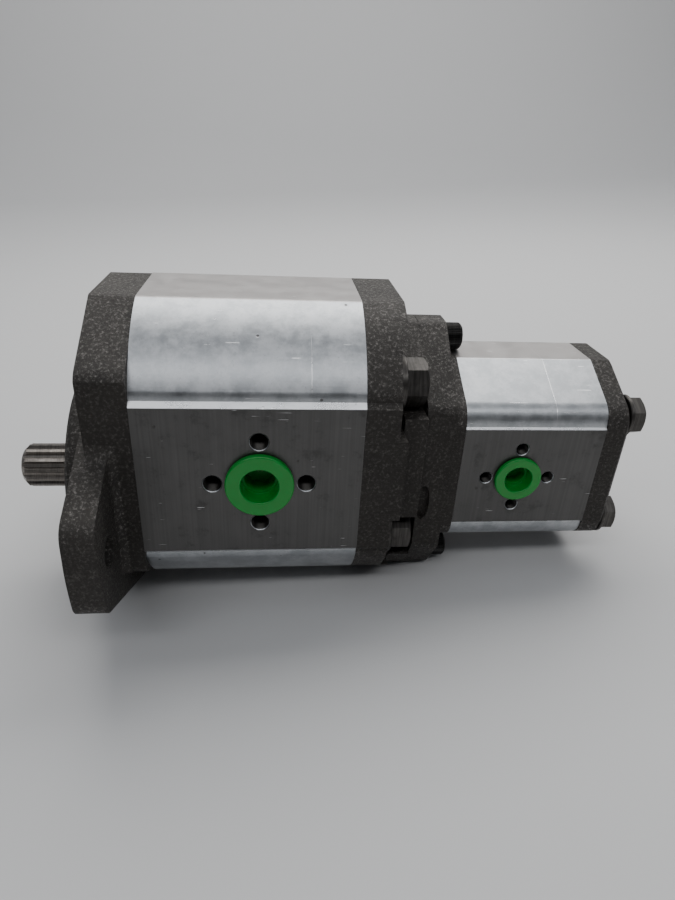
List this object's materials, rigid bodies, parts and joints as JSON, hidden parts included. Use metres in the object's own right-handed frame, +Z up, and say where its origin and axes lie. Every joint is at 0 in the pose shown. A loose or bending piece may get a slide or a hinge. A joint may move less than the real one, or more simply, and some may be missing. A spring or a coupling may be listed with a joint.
{
  "type": "tandem hydraulic gear pump",
  "caption": "Tandem external gear pump: a large aluminium-bodied pump with a flanged splined shaft, and a smaller pump bolted behind it.",
  "frame": {"origin": "centre of the bounding box at its lowest point, under the mounting flange", "axes": "+X along the drive shaft from its splined end to the rear, +Z up, +Y to the far side; the idler gears lie above the drive shaft"},
  "size_m": [0.297, 0.1798, 0.1509],
  "materials": {
    "cast_iron": "dark sand-cast, machined on the joint faces",
    "body_aluminium": "satin extruded, machined port faces",
    "machined_steel": "ground",
    "bolt_steel": "dark oiled",
    "black_steel": "black oxide",
    "green_plastic": "moulded",
    "seal_rubber": "matt",
    "bearing_alloy": "machined",
    "bronze": "machined"
  },
  "bodies": {
    "housing": {"front_cover": "cast_iron", "mid_cover": "cast_iron", "adapter_plate": "cast_iron", "rear_pump_cover": "cast_iron", "rear_end_cover": "cast_iron", "front_body": "body_aluminium", "rear_body": "body_aluminium", "dowel_near": "machined_steel", "dowel_far": "machined_steel", "front_bolt_upper_near": "bolt_steel", "front_bolt_upper_far": "bolt_steel", "front_bolt_lower_near": "bolt_steel", "front_bolt_lower_far": "bolt_steel", "front_washer_upper_near": "bolt_steel", "front_washer_upper_far": "bolt_steel", "front_washer_lower_near": "bolt_steel", "front_washer_lower_far": "bolt_steel", "rear_bolt_upper_near": "bolt_steel", "rear_bolt_upper_far": "bolt_steel", "rear_bolt_lower_near": "bolt_steel", "rear_bolt_lower_far": "bolt_steel", "rear_washer_upper_near": "bolt_steel", "rear_washer_upper_far": "bolt_steel", "rear_washer_lower_near": "bolt_steel", "rear_washer_lower_far": "bolt_steel", "seal_retaining_ring": "black_steel", "cap_screw_top": "black_steel", "cap_screw_lower_near": "black_steel", "cap_screw_lower_far": "black_steel", "cap_washer_top": "black_steel", "cap_washer_lower_near": "black_steel", "cap_washer_lower_far": "black_steel", "shaft_seal": "seal_rubber", "front_body_seal_fore": "seal_rubber", "front_body_seal_aft": "seal_rubber", "rear_body_seal_fore": "seal_rubber", "rear_body_seal_aft": "seal_rubber", "front_bearing_block_fore": "bearing_alloy", "front_bearing_block_aft": "bearing_alloy", "rear_bearing_block_fore": "bearing_alloy", "rear_bearing_block_aft": "bearing_alloy", "front_drive_bush_fore": "bronze", "front_drive_bush_aft": "bronze", "front_idler_bush_fore": "bronze", "front_idler_bush_aft": "bronze", "rear_drive_bush_fore": "bronze", "rear_drive_bush_aft": "bronze", "rear_idler_bush_fore": "bronze", "rear_idler_bush_aft": "bronze"},
    "drive_shaft": {"front_drive_gear_shaft": "machined_steel", "coupling_sleeve": "machined_steel"},
    "front_idler": {"front_idler_gear_shaft": "machined_steel"},
    "rear_drive_shaft": {"rear_drive_gear_shaft": "machined_steel"},
    "rear_idler": {"rear_idler_gear_shaft": "machined_steel"},
    "front_plug_near": {"front_port_plug_near": "green_plastic"},
    "front_plug_far": {"front_port_plug_far": "green_plastic"},
    "rear_plug_near": {"rear_port_plug_near": "green_plastic"},
    "rear_plug_far": {"rear_port_plug_far": "green_plastic"}
  },
  "joints": [
    {"name": "drive_shaft_spin", "type": "hinge", "parent": "housing", "child": "drive_shaft", "pos_m": [-0.04105, 0, 0.0576], "axis": [1, 0, 0], "continuous": true},
    {"name": "front_idler_spin", "type": "hinge", "parent": "housing", "child": "front_idler", "pos_m": [-0.03505, 0, 0.1039], "axis": [1, 0, 0], "continuous": true},
    {"name": "rear_drive_spin", "type": "hinge", "parent": "housing", "child": "rear_drive_shaft", "pos_m": [0.07895, 0, 0.0576], "axis": [1, 0, 0], "continuous": true},
    {"name": "rear_idler_spin", "type": "hinge", "parent": "housing", "child": "rear_idler", "pos_m": [0.09495, 0, 0.0909], "axis": [1, 0, 0], "continuous": true},
    {"name": "front_plug_near_pull", "type": "slide", "parent": "housing", "child": "front_plug_near", "axis": [0, -1, 0], "range_m": [0, 0.025]},
    {"name": "front_plug_far_pull", "type": "slide", "parent": "housing", "child": "front_plug_far", "axis": [0, 1, 0], "range_m": [0, 0.025]},
    {"name": "rear_plug_near_pull", "type": "slide", "parent": "housing", "child": "rear_plug_near", "axis": [0, -1, 0], "range_m": [0, 0.025]},
    {"name": "rear_plug_far_pull", "type": "slide", "parent": "housing", "child": "rear_plug_far", "axis": [0, 1, 0], "range_m": [0, 0.025]}
  ],
  "couplings": [
    {"joint": "front_idler_spin", "follows": "drive_shaft_spin", "ratio": -1},
    {"joint": "rear_drive_spin", "follows": "drive_shaft_spin", "ratio": 1},
    {"joint": "rear_idler_spin", "follows": "drive_shaft_spin", "ratio": -1}
  ]
}
